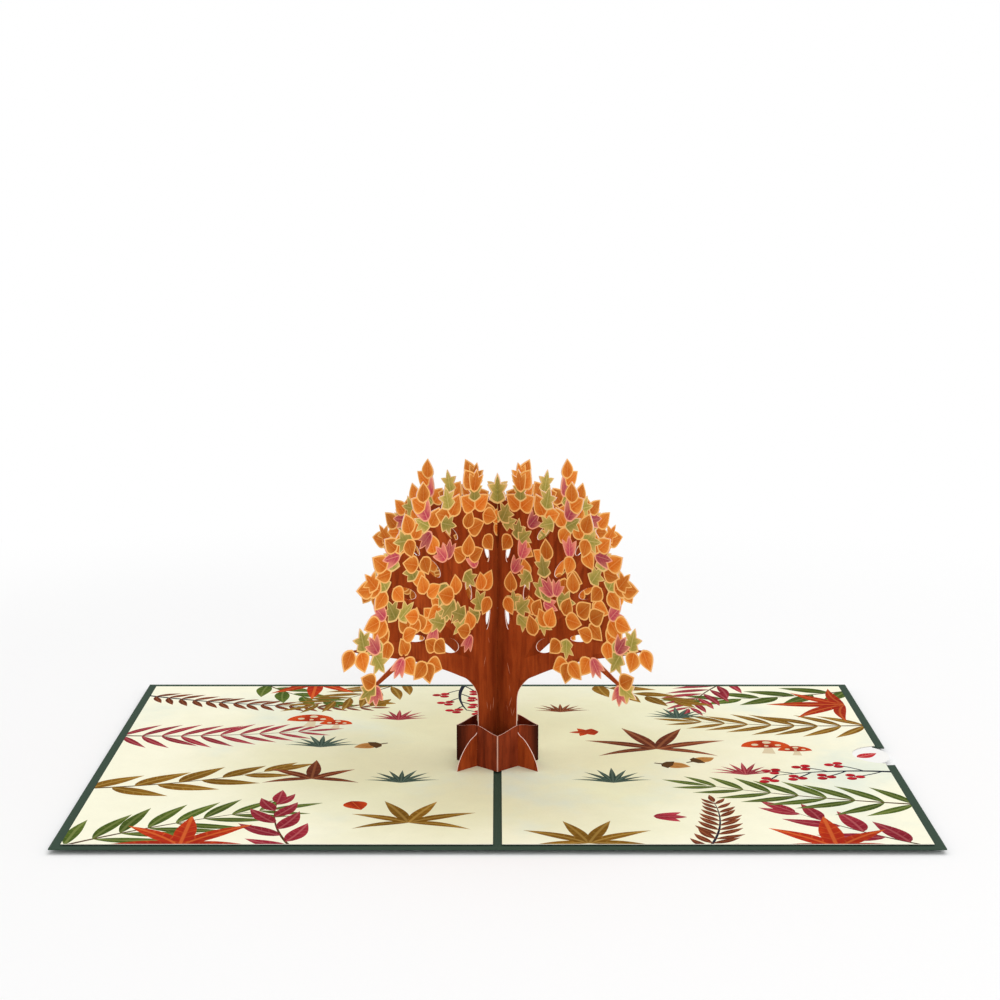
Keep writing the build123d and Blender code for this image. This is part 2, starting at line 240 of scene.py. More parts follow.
class Sheet:
    """A flat drawing: shapes laid one over the other, some of which cut the paper."""

    def __init__(self):
        self.shapes = []

    def cut(self, loop, ink, leaf=None):
        """Paper with this outline, in this ink."""
        self.shapes.append((loop, ink, leaf, True))

    def ink(self, loop, ink, leaf=None):
        """Ink on the paper that is already there."""
        self.shapes.append((loop, ink, leaf, None))

    def hole(self, loop):
        self.shapes.append((loop, None, None, False))

    def leaf(self, shape, size, place, turn, fill, rim=None, flip=False, cuts=False, tint=0.5, arch=0.0):
        """A leaf with its root at a place, pointing along a turn, with a rim in a second ink.
        Its tip swings aside by its arch, a share of its length."""
        if flip:
            place, turn = (-place[0], place[1]), 180 - turn
        grown = [(u * size, (v + arch * u * u) * size) for u, v in shape]
        draw = self.cut if cuts else self.ink
        facts = (place, turn, size, tint, arch)
        draw(turned(grown, place, turn), fill if rim is None else rim, facts)
        if rim is not None:
            inner = [((RIM_MIDDLE + (u - RIM_MIDDLE) * RIM_SHARE) * size, v * RIM_SHARE * size)
                     for u, v in shape]
            self.ink(turned(inner, place, turn), fill, facts)

    def mesh(self, name, place, inks, edge, back=None):
        """The drawing as a closed sheet.
        place(u, v, side) gives a point in metres, side 1 in front and 0 behind."""
        points, lines = [], []
        for loop, *_ in self.shapes:
            first = len(points)
            points += [Vector(p) for p in loop]
            lines += [(first + i, first + (i + 1) % len(loop)) for i in range(len(loop))]
        flat, _, faces, *_ = delaunay_2d_cdt(points, lines, [], 0, 1e-5)
        flat = np.array([tuple(p) for p in flat])
        faces = np.array([f for f in faces if len(f) == 3])
        middles = flat[faces].mean(axis=1)
        paper = np.zeros(len(faces), bool)
        ink = np.zeros(len(faces), int)
        drawn_by = np.full(len(faces), -1)
        for number, (loop, loop_ink, leaf, cuts) in enumerate(self.shapes):
            low, high = np.min(loop, axis=0), np.max(loop, axis=0)
            near = np.nonzero(((middles >= low) & (middles <= high)).all(axis=1))[0]
            hit = near[inside(middles[near], loop)]
            if cuts is not None:
                paper[hit] = cuts
            if loop_ink is not None:
                ink[hit] = loop_ink
                drawn_by[hit] = number if leaf else -1
        faces, ink, drawn_by = faces[paper], ink[paper], drawn_by[paper]
        used, faces = np.unique(faces, return_inverse=True)
        faces = faces.reshape(-1, 3)
        flat = flat[used]
        corners = np.concatenate([faces[:, [0, 1]], faces[:, [1, 2]], faces[:, [2, 0]]])
        known = {tuple(pair) for pair in corners.tolist()}
        border = [pair for pair in corners.tolist() if (pair[1], pair[0]) not in known]
        count = len(flat)
        verts = [place(u, v, 1) for u, v in flat] + [place(u, v, 0) for u, v in flat]
        behind = (faces[:, ::-1] + count).tolist()
        walls = [(b, a, a + count, b + count) for a, b in border]
        body = bpy.data.meshes.new(name)
        body.from_pydata(verts, [], faces.tolist() + behind + walls)
        behind_ink = ink if back is None else np.full(len(ink), back)
        every_ink = np.concatenate([ink, behind_ink, np.full(len(walls), edge)])
        body.polygons.foreach_set("material_index", every_ink)
        for material in inks:
            body.materials.append(material)
        at = np.zeros((len(body.loops), 3), np.float32)
        for number in np.unique(drawn_by[drawn_by >= 0]):
            (x, y), turn, size, tint, arch = self.shapes[number][2]
            rows = np.nonzero(drawn_by == number)[0]
            c, s = cos(radians(turn)) / size, sin(radians(turn)) / size
            for side, order in ((0, (0, 1, 2)), (len(faces), (2, 1, 0))):
                for spot, corner in enumerate(order):
                    du, dv = (flat[faces[rows, corner]] - (x, y)).T
                    along = c * du + s * dv
                    across = c * dv - s * du - arch * along ** 2
                    at[(rows + side) * 3 + spot] = np.stack([along, across, np.full(len(rows), tint)], 1)
        made = body.attributes.new("leaf", "FLOAT_VECTOR", "CORNER")
        made.data.foreach_set("vector", at.ravel())
        body.validate()
        body.update()
        piece = bpy.data.objects.new(name, body)
        bpy.context.scene.collection.objects.link(piece)
        return piece


# Node groups and materials


def add(tree, kind, sockets=None, **settings):
    """A new node, with its settings, and its sockets set or linked."""
    made = tree.nodes.new(kind)
    for key, value in settings.items():
        setattr(made, key, value)
    for key, value in (sockets or {}).items():
        if isinstance(value, bpy.types.NodeSocket):
            tree.links.new(value, made.inputs[key])
        else:
            made.inputs[key].default_value = value
    return made


def math(tree, operation, *values):
    return add(tree, "ShaderNodeMath", dict(enumerate(values)), operation=operation).outputs[0]


def vector(tree, operation, *values):
    made = add(tree, "ShaderNodeVectorMath", dict(enumerate(values)), operation=operation)
    return made.outputs["Value" if operation == "LENGTH" else "Vector"]


def weighted(tree, *pairs):
    """The sum of values, each times its weight."""
    total, *rest = [math(tree, "MULTIPLY", value, weight) for value, weight in pairs]
    for term in rest:
        total = math(tree, "ADD", total, term)
    return total


def blend(tree, share, first, second, kind="MIX"):
    sockets = {0: share, 6: first, 7: second}
    return add(tree, "ShaderNodeMix", sockets, data_type="RGBA", blend_type=kind).outputs[2]


def step(tree, value, low, high):
    """0 below low, 1 above high, and smooth between."""
    sockets = {0: value, 1: low, 2: high, 3: 0.0, 4: 1.0}
    return add(tree, "ShaderNodeMapRange", sockets, interpolation_type="SMOOTHSTEP").outputs[0]


def fade(tree, value, low, high):
    """1 below low, 0 above high, and smooth between."""
    return math(tree, "SUBTRACT", 1.0, step(tree, value, low, high))


def noise(tree, place, scale, detail, roughness=0.5):
    sockets = {"Vector": place, "Scale": scale, "Detail": detail, "Roughness": roughness}
    return add(tree, "ShaderNodeTexNoise", sockets).outputs[0]


def grey(tree, value):
    return add(tree, "ShaderNodeCombineColor", {0: value, 1: value, 2: value}).outputs[0]


def card_place(tree):
    """The place on the card, in metres."""
    return add(tree, "ShaderNodeTexCoord").outputs["Object"]


def group(name, inputs, outputs):
    tree = bpy.data.node_groups.new(name, "ShaderNodeTree")
    for way, sockets in (("INPUT", inputs), ("OUTPUT", outputs)):
        for socket, kind in sockets:
            tree.interface.new_socket(socket, in_out=way, socket_type=kind)
    return tree, add(tree, "NodeGroupInput"), add(tree, "NodeGroupOutput")


COLOUR, VALUE = "NodeSocketColor", "NodeSocketFloat"

# Paints: scales are cells of noise to the metre
FIBRE_SCALE = 1500.0
FIBRE_CLOUD_SCALE = 160.0
GRAIN_TONE = 0.06          # how much the fibres and their clouds each change the tone
BRUSH_SCALE = 420.0
RIB_EDGE = (0.012, 0.03)   # a leaf's midrib fades out between these shares of its length
VEIN_EDGE = (0.03, 0.12)   # and its side veins between these shares of the way from one to the next
VEIN_WAVE = (6.0, -5.0)    # how many side veins a leaf has, and how far they sweep forwards
LEAF_LIGHT = (0.70, 0.56)  # brightness of the darkest leaf, and how much brighter the palest is
BARK_STRETCH = (520.0, 520.0, 70.0)
BARK_PATCH_SCALE = 90.0
WASH_CLOUD_SCALE = 22.0
COOL_CLOUD_SCALE = 13.0

# Where a paint changes, in metres from the fold or from the card's middle
FOLD_LINE = (0.0001, 0.0003)    # bare paper on the collar's folds over the card's fold
SIDE_CORNER_PAINTED_SHADE = (0.0075, 0.0135)  # painted shade: the collar darkens towards its side corners, which lie behind the wings
WASH_RING = (0.03, 0.125)       # the liners' wash pales from the first to the second
WASH_UNDER_PAINTED_LIGHT = (0.02, 0.065)      # painted light: the wash is paler under the tree, up to these, against the tree's shade


def paper_grain_group():
    """Fine fibres and a slow change of tone, over the whole card."""
    tree, _, out = group("paper grain", [], [("Height", VALUE), ("Tone", COLOUR)])
    fibre = noise(tree, card_place(tree), FIBRE_SCALE, 3.0)
    cloud = noise(tree, card_place(tree), FIBRE_CLOUD_SCALE, 3.0)
    tone = math(tree, "ADD", weighted(tree, (fibre, GRAIN_TONE), (cloud, GRAIN_TONE)), 1 - GRAIN_TONE)
    tree.links.new(fibre, out.inputs["Height"])
    tree.links.new(grey(tree, tone), out.inputs["Tone"])
    return tree


def leaf_paint_group():
    """Brushed leaf: deeper along the middle, paler at the sides, with a midrib and side veins."""
    inks = [("Middle", COLOUR), ("Side", COLOUR), ("Vein", COLOUR), ("Veins", VALUE)]
    tree, given, out = group("leaf paint", inks, [("Color", COLOUR)])
    drawn = add(tree, "ShaderNodeAttribute", attribute_name="leaf").outputs["Vector"]
    along, across, tint = add(tree, "ShaderNodeSeparateXYZ", {0: drawn}).outputs
    off = math(tree, "ABSOLUTE", across)
    brush = noise(tree, card_place(tree), BRUSH_SCALE, 4.0, 0.65)
    wander = math(tree, "MULTIPLY", math(tree, "SUBTRACT", brush, 0.5), 0.9)
    spread = weighted(tree, (off, 1.9), (along, 0.5))
    paler = step(tree, math(tree, "ADD", spread, wander), 0.1, 1.1)
    colour = blend(tree, paler, given.outputs["Middle"], given.outputs["Side"])
    rib = fade(tree, off, *RIB_EDGE)
    wave = math(tree, "FRACT", weighted(tree, (along, VEIN_WAVE[0]), (off, VEIN_WAVE[1])))
    side = fade(tree, math(tree, "ABSOLUTE", math(tree, "SUBTRACT", wave, 0.5)), *VEIN_EDGE)
    lines = math(tree, "MAXIMUM", rib, math(tree, "MULTIPLY", side, 0.45))
    lines = math(tree, "MULTIPLY", lines, given.outputs["Veins"])
    colour = blend(tree, lines, colour, given.outputs["Vein"])
    light = math(tree, "ADD", LEAF_LIGHT[0], math(tree, "MULTIPLY", tint, LEAF_LIGHT[1]))
    tree.links.new(blend(tree, 1.0, colour, grey(tree, light), "MULTIPLY"), out.inputs["Color"])
    return tree


def bark_group():
    """Upright streaks of bark between two colours, with painted shade that darkens them where the slices
    cross.
    """
    tree, given, out = group("bark", [("Dark", COLOUR), ("Light", COLOUR)], [("Color", COLOUR)])
    place = card_place(tree)
    drawn = add(tree, "ShaderNodeMapping", {"Vector": place, "Scale": BARK_STRETCH}).outputs[0]
    streak = noise(tree, drawn, 1.0, 4.0, 0.6)
    patch = noise(tree, place, BARK_PATCH_SCALE, 2.0)
    mix = weighted(tree, (streak, 0.7), (patch, 0.3))
    colour = blend(tree, step(tree, mix, 0.32, 0.66), given.outputs["Dark"], given.outputs["Light"])
    # painted shade: the bark is darker near the line where the two slices cross and shade each other
    from_tree = vector(tree, "ADD", place, (0, TREE_FORWARD * MM, 0))
    from_axis = vector(tree, "LENGTH", vector(tree, "MULTIPLY", from_tree, (1, 1, 0)))
    painted_crossing_shade = fade(tree, from_axis, 0.0, CROSSING_SHADE * MM)
    shaded = blend(tree, 1.0, colour, linear(214, 210, 208), "MULTIPLY")
    tree.links.new(blend(tree, painted_crossing_shade, colour, shaded), out.inputs["Color"])
    return tree


PAPER_GRAIN = paper_grain_group()
LEAF_PAINT = leaf_paint_group()
BARK = bark_group()


def use(tree, shared, sockets=None):
    made = tree.nodes.new("ShaderNodeGroup")
    made.node_tree = shared
    for key, value in (sockets or {}).items():
        made.inputs[key].default_value = value
    return made.outputs


def paper(name, paint, roughness=0.85, grain=0.25):
    """A matt paper. paint(tree) gives its colour socket or a plain colour."""
    made = bpy.data.materials.new(name)
    made.use_nodes = True
    tree = made.node_tree
    shader = next(n for n in tree.nodes if n.type == "BSDF_PRINCIPLED")
    shader.inputs["Roughness"].default_value = roughness
    shader.inputs["Specular IOR Level"].default_value = 0.05
    fibres = use(tree, PAPER_GRAIN)
    tree.links.new(blend(tree, 1.0, paint(tree), fibres["Tone"], "MULTIPLY"), shader.inputs["Base Color"])
    bump = add(tree, "ShaderNodeBump", {"Height": fibres["Height"], "Strength": grain, "Distance": 0.0002})
    tree.links.new(bump.outputs[0], shader.inputs["Normal"])
    return made


def plain(name, colour, **more):
    return paper(name, lambda tree: linear(*colour), **more)


def painted(name, middle, side, vein, veins=0.6):
    colours = {"Middle": linear(*middle), "Side": linear(*side), "Vein": linear(*vein), "Veins": veins}
    return paper(name, lambda tree: use(tree, LEAF_PAINT, colours)["Color"])


def barked(name, dark, light):
    colours = {"Dark": linear(*dark), "Light": linear(*light)}
    return paper(name, lambda tree: use(tree, BARK, colours)["Color"])


def collar_paint(tree):
    """Bark with painted shade darkening it to the side corners, with bare paper on cut edges and over the
    card's fold.
    """
    bark = use(tree, BARK, {"Dark": linear(104, 38, 18), "Light": linear(146, 60, 30)})["Color"]
    normal = add(tree, "ShaderNodeNewGeometry").outputs["Normal"]
    up = add(tree, "ShaderNodeSeparateXYZ", {0: normal}).outputs[2]
    edge = step(tree, math(tree, "ABSOLUTE", up), 0.5, 0.7)
    across = add(tree, "ShaderNodeSeparateXYZ", {0: card_place(tree)}).outputs[0]
    from_fold = math(tree, "ABSOLUTE", across)
    # painted shade: the bark darkens towards the side corners, where the panels lie in the wings' shadow
    corner = math(tree, "MULTIPLY", step(tree, from_fold, *SIDE_CORNER_PAINTED_SHADE), 0.9)
    bark = blend(tree, corner, bark, linear(34, 12, 8))
    fold = math(tree, "MULTIPLY", fade(tree, from_fold, *FOLD_LINE), 0.7)
    return blend(tree, math(tree, "MAXIMUM", edge, fold), bark, linear(232, 186, 168))


def liner_paint(tree):
    """Cream wash, deeper in a ring round the tree than at the edges, with faint cool clouds; painted light
    keeps it paler under the tree.
    """
    place = card_place(tree)
    cloud = noise(tree, place, WASH_CLOUD_SCALE, 4.0, 0.55)
    drift = math(tree, "MULTIPLY", math(tree, "SUBTRACT", cloud, 0.5), 0.08)
    out = math(tree, "ADD", vector(tree, "LENGTH", place), drift)
    colour = blend(tree, step(tree, out, *WASH_RING), linear(231, 230, 190), linear(253, 251, 226))
    # painted light: the wash is paler under the tree, to offset the tree's shade there
    colour = blend(tree, fade(tree, out, *WASH_UNDER_PAINTED_LIGHT), colour, linear(240, 238, 199))
    cool = noise(tree, place, COOL_CLOUD_SCALE, 5.0, 0.6)
    share = math(tree, "MULTIPLY", step(tree, cool, 0.52, 0.70), 0.55)
    return blend(tree, share, colour, linear(219, 232, 222))


# Tree


def branch_underside():
    run = BRANCH_REACH - BRANCH_ROOT_OUT
    rise = BRANCH_TIP_H - BRANCH_ROOT_H
    shares = ((0, 0), (0.14, 0.19), (0.30, 0.38), (0.46, 0.54), (0.66, 0.70), (0.84, 0.84), (1, 1))
    return [(BRANCH_ROOT_OUT + run * a, BRANCH_ROOT_H + rise * b) for a, b in shares]


def branch_point(share):
    """The place on the underside of the low branch at this share of its run."""
    line = smooth(branch_underside(), CURVE_STEPS)
    x = BRANCH_ROOT_OUT + share * (BRANCH_REACH - BRANCH_ROOT_OUT)
    for (x0, z0), (x1, z1) in zip(line, line[1:]):
        if x <= x1:
            return x, z0 + (z1 - z0) * (x - x0) / (x1 - x0)
    return line[-1]


def crown_point(turn):
    """The crown's edge at a turn in degrees from its widest place, and the way out from it."""
    c, s = cos(radians(turn)), sin(radians(turn))
    rise = CROWN_H - CROWN_FOOT_H
    x = CROWN_REACH * abs(c) ** CROWN_SQUARENESS
    z = CROWN_FOOT_H + rise * abs(s) ** CROWN_SQUARENESS * (1 if s >= 0 else -1)
    return x, z, degrees(atan2(s * CROWN_REACH, c * rise))


def half_outline():
    """The slice's edge from its root up the outside to the top of the crown."""
    root_out = ROOT_REACH - TRUNK_HALF
    turns = [radians(turn) for turn in (0, 20, 40, 60, 80)]
    root = [(TRUNK_HALF + root_out * cos(turn) ** ROOT_FLATNESS, ROOT_H * sin(turn) ** ROOT_FLATNESS)
            for turn in turns]
    trunk = root + [
        (TRUNK_HALF, ROOT_H * 1.15),
        (TRUNK_HALF, (ROOT_H + TRUNK_H) / 2),
        (TRUNK_HALF * 1.06, TRUNK_H),
        ((TRUNK_HALF + BRANCH_ROOT_OUT) / 2, (TRUNK_H + 2 * BRANCH_ROOT_H) / 3),
    ]
    under = branch_underside()
    top = [(BRANCH_REACH - DIP_BACK, BRANCH_TIP_H - 0.4), (CROWN_REACH * 0.95, BRANCH_TIP_H + 1.2)]
    crown = [crown_point(turn)[:2] for turn in (0, 15, 30, 45, 60, 75)] + [(0, CROWN_H)]
    return smooth(trunk + under, CURVE_STEPS) + smooth([under[-1]] + top + crown, CURVE_STEPS)[1:]


def twig_line():
    x, z = branch_point(0.50)
    reach = TWIG_LENGTH + LEAF_ROOT
    z += LEAF_ROOT / 2
    return [(x, z), (x + reach * cos(radians(TWIG_DROOP)), z - reach * sin(radians(TWIG_DROOP)))]


def window_places():
    """The windows in one half of the slice: out, height, half length, half width and tilt."""
    return [(out * CROWN_REACH, up * CROWN_H, *rest) for out, up, *rest in WINDOWS]


def edge_leaves():
    """The leaves that shape the slice's edge and its windows: place, turn, kind, size and ink."""
    leaves = []
    for k in range(TUFTS):
        x, z, out = crown_point(TUFT_FIRST + TUFT_TURN * k)
        fan = [(-1, -LEAF_ROOT), (1, -LEAF_ROOT), (0, TUFT_STEP_OUT - LEAF_ROOT)]
        if k in CREST_OUT:
            fan += zip((-0.45, 0.5), CREST_OUT[k])
        for n, (j, off) in enumerate(fan):
            turn = out + TUFT_SPREAD * j + 11 * sin(2.4 * k + n)
            place = (x + off * cos(radians(out)), z + off * sin(radians(out)))
            kind = LEAF_KINDS[(3 * k + n) % len(LEAF_KINDS)]
            leaves.append((place, turn, kind, 1 + 0.09 * sin(1.7 * k + 2 * n), "oval" if n > 2 else kind))
    for n, (x, z, half_length, half_width, tilt) in enumerate(window_places()):
        reach = half_length + LEAF_ROOT
        place = (x + reach * cos(radians(tilt)), z + reach * sin(radians(tilt)))
        kind = LEAF_KINDS[(2 * n + 1) % len(LEAF_KINDS)]
        leaves.append((place, tilt + 180 + 24 * (-1) ** n, kind, 0.9, kind))
    for share, turn, kind in BRANCH_LEAVES:
        x, z = branch_point(share)
        leaves.append(((x, z + LEAF_ROOT * 0.4), turn, kind, 1.0, kind))
    tip = twig_line()[-1]
    for turn, kind in TWIG_LEAVES:
        leaves.append((tip, turn - TWIG_DROOP, kind, 0.95, kind))
    return leaves


def from_lines(x, z, lines):
    """How far a point lies outside the nearest of the printed limbs."""
    return min(hypot(x - a, z - b) - half for line in lines for a, b, half in line)


def crown_leaves(draw, wood, holes):
    """Clusters of leaves printed over the crown, clear of the windows and mostly of the limbs."""
    limbs = [smooth(line, CURVE_STEPS) for line in LIMBS]
    inner, outer = CLUSTER_APART
    taken, leaves = [], []
    for _ in range(CLUSTER_TRIES):
        x, z = draw.uniform(1.0, CROWN_REACH), draw.uniform(CLUSTER_LOW, CROWN_H)
        out = degrees(atan2(z - CLUSTER_AIM_H, x)) + draw.uniform(-60, 60)
        first = draw.choice(CLUSTER_KINDS)
        apart = inner + (outer - inner) * x / CROWN_REACH
        in_fork = x < FORK[0] and z < FORK[1]
        in_limb = from_lines(x, z, limbs) < -LIMB_COVER
        if in_fork or in_limb or any(hypot(x - a, z - b) < apart for a, b in taken):
            continue
        taken.append((x, z))
        for n, fan in enumerate(CLUSTER_FAN):
            kind = first if n else draw.choice(LEAD_KINDS)
            turn = out + fan + draw.uniform(-14, 14)
            size, tint = draw.uniform(0.86, 1.06), draw.uniform(0.0, 0.9)
            length, shape = LEAF_SHAPES[kind]
            root = (x + 0.8 * cos(radians(turn)), z + 0.8 * sin(radians(turn)))
            edge = np.array(turned([(u * length * size, v * length * size) for u, v in shape], root, turn))
            if inside(edge, wood).all() and not any(inside(edge, hole).any() for hole in holes):
                leaves.append((root, turn, kind, size, tint))
    return leaves


def slot_loop(out, low, high):
    half = SLOT_WIDTH / 2
    return [(out - half, low), (out + half, low), (out + half, high), (out - half, high)]


TREE_INKS = {
    "bark": barked("tree bark and painted shade", (116, 42, 14), (154, 62, 22)),
    "limb": barked("tree limb and painted shade", (130, 48, 18), (170, 74, 30)),
    "scratch": plain("bark scratch", (192, 122, 94)),
    "edge": plain("cut paper edge", (240, 206, 194)),
    "oval": painted("orange leaf", (204, 100, 26), (226, 142, 62), (240, 172, 96), 0.35),
    "oval rim": plain("orange leaf rim", (249, 188, 112)),
    "maple": painted("olive leaf", (152, 142, 64), (208, 176, 98), (222, 196, 126), 0.5),
    "maple rim": plain("olive leaf rim", (238, 198, 128)),
    "three": painted("rose leaf", (184, 66, 84), (222, 132, 112), (236, 164, 138), 0.5),
    "three rim": plain("rose leaf rim", (246, 168, 136)),
}
TREE_INK = {name: i for i, name in enumerate(TREE_INKS)}


def tree_sheet(seed, axis_slot):
    """The flat drawing of one tree slice."""
    draw = random.Random(seed)
    sheet = Sheet()
    right = half_outline()
    wood = right + mirrored(right)[1:]
    sheet.cut(wood, TREE_INK["bark"])
    sides = ((False, list), (True, mirrored))
    holes = []
    turns = [2 * pi * i / WINDOW_STEPS for i in range(WINDOW_STEPS)]
    for x, z, half_length, half_width, tilt in window_places():
        ring = [(half_length * cos(t), half_width * sin(t)) for t in turns]
        holes.append(turned(ring, (x, z), tilt))
    for flip, way in sides:
        for hole in holes:
            sheet.hole(way(hole))
        for limb in LIMBS:
            sheet.ink(way(stroke(limb)), TREE_INK["limb"])
        for _ in range(SCRATCHES):
            x, z = draw.uniform(1.5, 7.0), draw.uniform(15, 40)
            tilt, length = draw.uniform(70, 112), draw.uniform(2.0, 4.2)
            mark = turned([(length * u, v * length) for u, v in blade(0.07, 1.0, 6)], (x, z), tilt)
            sheet.ink(way(mark), TREE_INK["scratch"])
        for root, turn, kind, size, tint in crown_leaves(draw, wood, holes):
            length, shape = LEAF_SHAPES[kind]
            sheet.leaf(shape, length * size, root, turn, TREE_INK[kind], TREE_INK[kind + " rim"], flip,
                       tint=tint)
        (x0, z0), (x1, z1) = twig_line()
        half_way = ((x0 + x1) / 2, (z0 + z1) / 2)
        twig = [(x0, z0, TWIG_HALF), (*half_way, TWIG_HALF * 0.75), (x1, z1, TWIG_HALF / 2)]
        sheet.cut(way(stroke(twig)), TREE_INK["limb"])
        for place, turn, kind, size, ink in edge_leaves():
            length, shape = LEAF_SHAPES[kind]
            sheet.leaf(shape, length * size, place, turn, TREE_INK[ink], TREE_INK[ink + " rim"], flip, True,
                       draw.uniform(0.1, 0.9))
    sheet.leaf(LEAF_SHAPES["maple"][1], MAPLE_LENGTH * TOP_LEAF, (0, CROWN_H - LEAF_ROOT), 90,
               TREE_INK["maple"], TREE_INK["maple rim"], cuts=True)
    for out in (-COLLAR_HALF, COLLAR_HALF):
        sheet.hole(slot_loop(out, -1, COLLAR_LAP_H + LAP_PLAY / 2))
    sheet.hole(slot_loop(0, *axis_slot))
    return sheet


def stand(along, floor):
    """Places a flat slice upright on the liners, running along a direction."""
    side = Vector((along[1], -along[0], 0))

    def place(u, v, front):
        off = PAPER_T * (front - 0.5)
        x = along[0] * u + side.x * off
        y = along[1] * u + side.y * off - TREE_FORWARD
        return (MM * x, MM * y, floor + MM * v)

    return place


floor_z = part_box("left_liner")[1].z
diagonal = sqrt(0.5)
for node, seed, along, axis_slot in (
        ("under_slice", 11, (diagonal, diagonal), (LAP_H - LAP_PLAY / 2, CROWN_H + 4 * OVAL_LENGTH)),
        ("over_slice", 23, (-diagonal, diagonal), (-1, LAP_H + LAP_PLAY / 2))):
    slice_piece = tree_sheet(seed, axis_slot).mesh(
        "printed_" + node, stand(along, floor_z), TREE_INKS.values(), TREE_INK["edge"])
    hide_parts(node)
    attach(slice_piece, "card")


# Liners


def top_loops(node):
    """The outlines of a flat CAD node's upper face, in millimetres, the outer one first."""
    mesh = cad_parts[node].data
    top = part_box(node)[1].z
    spots = {}
    corner = []
    for vertex in mesh.vertices:
        key = (round(vertex.co.x / MM, 3), round(vertex.co.y / MM, 3))
        corner.append(spots.setdefault(key, key))
    edges = set()
    for face in mesh.polygons:
        if face.normal.z > 0.9 and abs(face.center.z - top) < 1e-6:
            ring = [corner[v] for v in face.vertices]
            edges |= set(zip(ring, ring[1:] + ring[:1]))
    after = {a: b for a, b in edges if (b, a) not in edges}
    loops = []
    while after:
        first, spot = after.popitem()
        loop = [first]
        while spot != first:
            loop.append(spot)
            spot = after.pop(spot)
        loops.append(loop)
    return sorted(loops, key=lambda loop: min(p[0] for p in loop) - max(p[0] for p in loop))


LINER_INKS = {
    "liner": paper("liner wash and painted light", liner_paint),
    "edge": plain("liner edge", (240, 236, 222)),
    "olive": painted("olive frond", (66, 86, 26), (108, 126, 46), (150, 158, 90), 0.4),
    "ochre": painted("ochre frond", (118, 80, 16), (166, 122, 38), (200, 164, 84), 0.4),
    "crimson": painted("crimson frond", (138, 28, 44), (182, 58, 72), (212, 120, 120), 0.4),
    "russet": painted("russet frond", (98, 42, 22), (146, 70, 36), (190, 120, 76), 0.4),
    "orange": painted("orange rosette", (158, 32, 12), (212, 74, 22), (236, 130, 60), 0.4),
    "slate": painted("slate grass", (48, 70, 60), (86, 106, 90), (130, 146, 128), 0.3),
    "stem": plain("brown stem", (84, 56, 26)),
    "vine": plain("dark vine", (30, 34, 48)),
    "berry": painted("red berry", (186, 30, 40), (150, 18, 34), (240, 150, 140), 0.0),
    "stalk": plain("pale stalk", (222, 206, 172)),
    "nut": painted("acorn nut", (162, 104, 44), (196, 142, 74), (226, 184, 120), 0.4),
}
LINER_INK = {name: i for i, name in enumerate(LINER_INKS)}


def bend_line(base, turn, length, bend, steps=14):
    """Points along a stem that turns by bend degrees over its length, with its direction at each."""
    x, y = base
    line = [(x, y, turn)]
    for i in range(steps):
        way = turn + bend * (i + 0.5) / steps
        x += length / steps * cos(radians(way))
        y += length / steps * sin(radians(way))
        line.append((x, y, turn + bend * (i + 1) / steps))
    return line


def along_line(line, share):
    spot = share * (len(line) - 1)
    i = min(int(spot), len(line) - 2)
    t = spot - i
    return [a + (b - a) * t for a, b in zip(line[i], line[i + 1])]


SPRAY_ARCH = 0.14          # a spray's leaves swing their tips forwards by this share of their length
ROSETTE_ARCH = 0.8         # and a rosette's outer leaves swing theirs to the sides
ROSETTE_FAN = 0.72         # share of a rosette's sweep that its leaves' roots cover
BERRY = 1.6                # radius
SPOTS = ((-0.26, 0.76, 0.09), (0.06, 0.96, 0.11), (0.32, 0.72, 0.08), (0.02, 0.66, 0.06))


def tapered(line, half, taper):
    """Points of a stroke along a line, whose half width falls by a share of itself."""
    last = len(line) - 1
    return [(x, y, half * (1 - taper * i / last)) for i, (x, y, _) in enumerate(line)]


def spray(sheet, draw, ink, base, turn, length, bend, count, leaf, width,
          spread=52, paired=True, stem="stem"):
    """A stem with leaves in pairs, as on a fern, or by turns on either side, as on a twig."""
    line = bend_line(base, turn, length, bend)
    sheet.ink(stroke(tapered(line, 0.30 + length / 220, 0.8), 2), LINER_INK[stem])
    shape = blade(width / leaf, 0.85 if paired else 0.75)
    for i in range(count):
        share = 0.10 + 0.86 * i / (count - 1)
        x, y, way = along_line(line, share)
        size = leaf * (0.62 + 0.5 * sin(pi * (0.12 + 0.62 * share))) * (1 - 0.42 * share)
        for side in ((-1, 1) if paired else ((-1) ** i,)):
            lean = side * (spread - 16 * share) + draw.uniform(-6, 6)
            tint = draw.uniform(0.2, 0.8)
            sheet.leaf(shape, size, (x, y), way + lean, LINER_INK[ink], tint=tint, arch=-SPRAY_ARCH * side)
    x, y, way = line[-1]
    sheet.leaf(shape, leaf * 0.66, (x, y), way, LINER_INK[ink], tint=0.6)


def rosette(sheet, draw, ink, base, count, length, width, middle=90, sweep=190):
    """Pointed leaves that spread from one root and arch over to the sides."""
    shape = blade(width / length, 0.8)
    order = sorted(range(count), key=lambda i: -abs(i - (count - 1) / 2))
    for i in order:
        share = i / (count - 1) - 0.5
        size = length * (1 - 0.45 * abs(share)) * draw.uniform(0.9, 1.08)
        turn = middle - ROSETTE_FAN * sweep * share
        tint = draw.uniform(0.2, 0.85)
        sheet.leaf(shape, size, base, turn, LINER_INK[ink], tint=tint, arch=-ROSETTE_ARCH * share)


def tuft(sheet, draw, base, size, ink):
    rosette(sheet, draw, ink, base, 9, size, size * 0.13, sweep=150)


